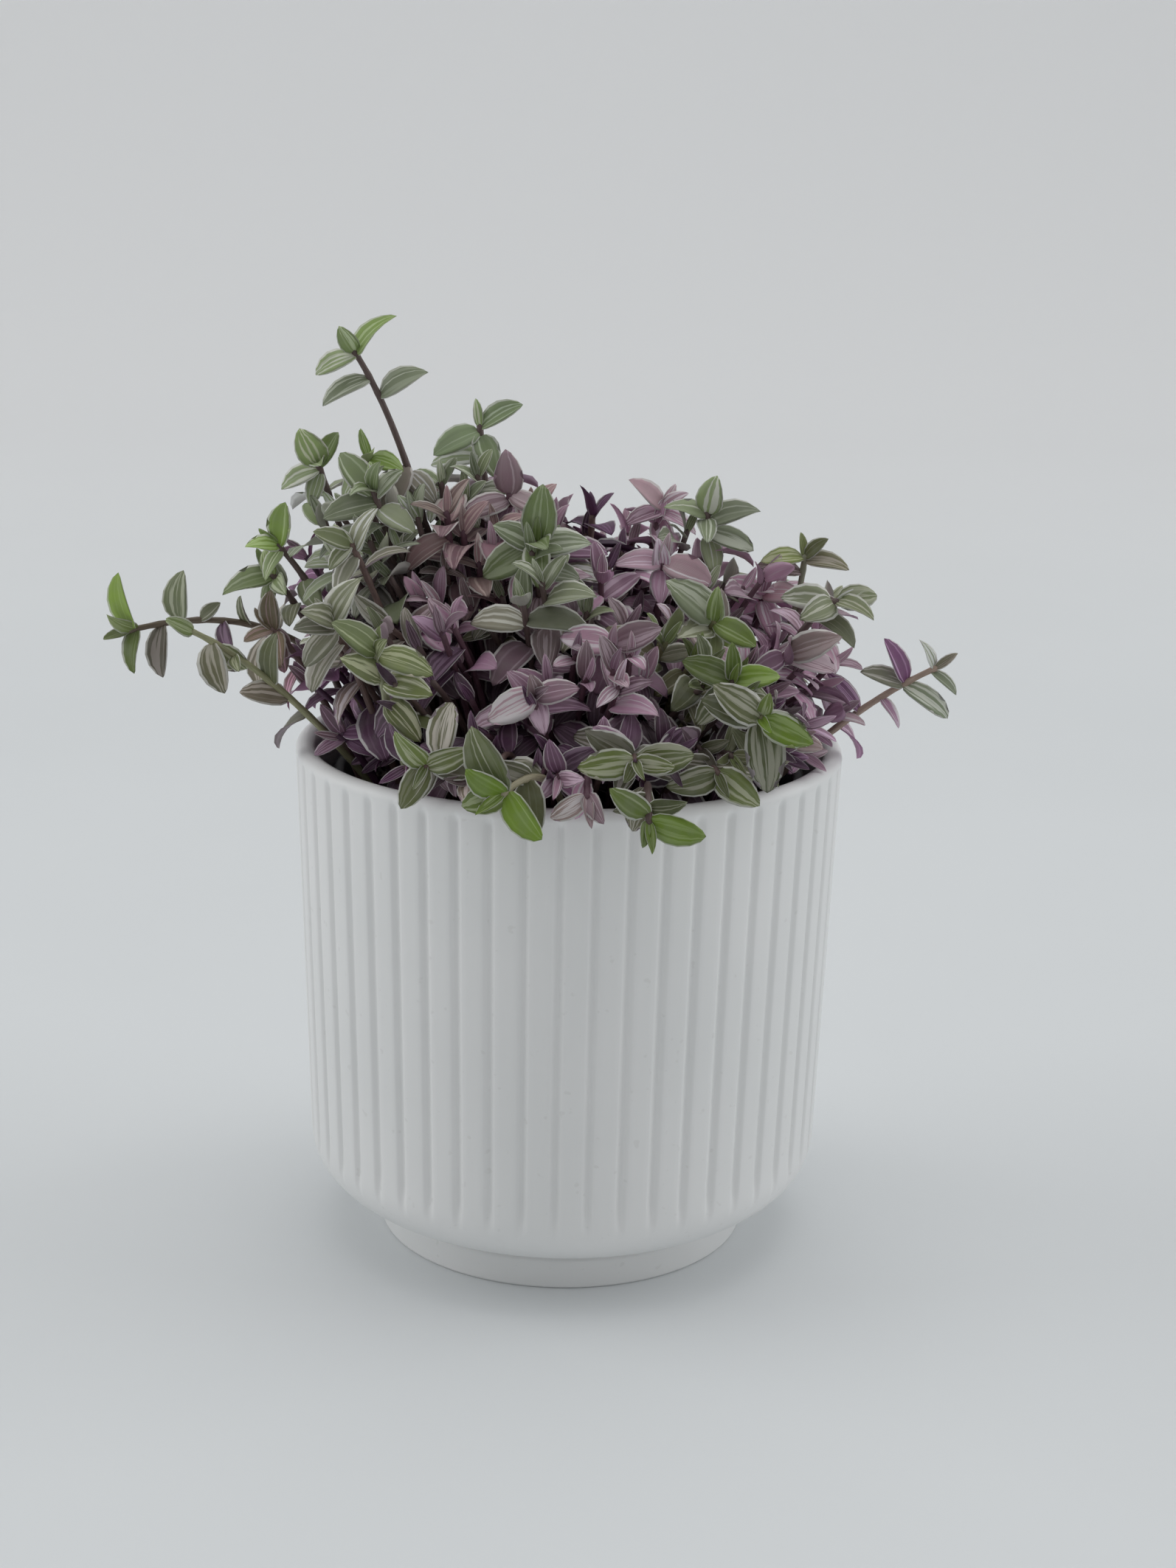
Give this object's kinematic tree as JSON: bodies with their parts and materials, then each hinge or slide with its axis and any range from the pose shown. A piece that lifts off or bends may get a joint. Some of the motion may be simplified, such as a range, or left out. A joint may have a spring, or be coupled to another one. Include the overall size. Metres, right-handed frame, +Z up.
{
  "type": "potted callisia",
  "caption": "Bushy trailing plant with small pointed leaves, rooted in a slim nursery pot that stands inside a white fluted ceramic cover pot.",
  "frame": {"origin": "centre of the ceramic pot's flat underside, on the pot's own axis", "axes": "+Z up along the pot's axis, -Y the front of the plant, +X to the right as seen from the front"},
  "size_m": [0.2125, 0.1699, 0.2377],
  "materials": {
    "ceramic": "satin",
    "nursery_plastic": "satin",
    "peat": "matte",
    "leaf_green": "satin",
    "leaf_bright": "satin",
    "leaf_dusky": "satin",
    "leaf_pink": "satin",
    "leaf_purple": "satin"
  },
  "bodies": {
    "root": {"ceramic_pot": "ceramic", "nursery_pot": "nursery_plastic", "soil": "peat", "shoot_tall_left": "leaf_green", "shoot_tall_centre": "leaf_green", "shoot_upper_left": "leaf_green", "shoot_upper_mid": "leaf_green", "shoot_left_centre": "leaf_green", "shoot_left_edge": "leaf_green", "shoot_left_edge_low": "leaf_green", "shoot_left_hang": "leaf_dusky", "shoot_left_front_top": "leaf_dusky", "shoot_left_trailing": "leaf_green", "shoot_left_low": "leaf_green", "shoot_front_left": "leaf_green", "shoot_left_hollow": "leaf_dusky", "shoot_crown": "leaf_green", "shoot_crown_hood": "leaf_pink", "shoot_top_right": "leaf_pink", "shoot_upper_right": "leaf_green", "shoot_right_pink": "leaf_pink", "shoot_right_mauve": "leaf_pink", "shoot_right_sprig": "leaf_dusky", "shoot_right_edge": "leaf_green", "shoot_right_trailing": "leaf_dusky", "shoot_right_low": "leaf_pink", "shoot_right_purple": "leaf_pink", "shoot_right_face": "leaf_bright", "shoot_right_face_low": "leaf_green", "shoot_front_right": "leaf_bright", "shoot_front_centre": "leaf_dusky", "shoot_front_low_left": "leaf_bright", "shoot_front_low_right": "leaf_green", "shoot_front_left_low": "leaf_dusky", "shoot_front_pink": "leaf_pink", "shoot_middle_pink": "leaf_pink", "shoot_left_rim": "leaf_purple", "shoot_rim_middle": "leaf_pink", "shoot_rim_right": "leaf_dusky", "shoot_back_1": "leaf_green", "shoot_back_2": "leaf_green", "shoot_back_3": "leaf_green", "shoot_back_4": "leaf_green", "shoot_back_5": "leaf_green", "shoot_shoulder_1": "leaf_dusky", "shoot_shoulder_2": "leaf_dusky", "shoot_shoulder_3": "leaf_dusky", "shoot_shoulder_4": "leaf_dusky", "shoot_heart_1": "leaf_pink", "shoot_heart_2": "leaf_pink", "shoot_core_1": "leaf_dusky", "shoot_side_1": "leaf_purple", "shoot_inner_1": "leaf_purple", "shoot_inner_2": "leaf_purple", "shoot_flank_1": "leaf_pink"}
  },
  "joints": []
}
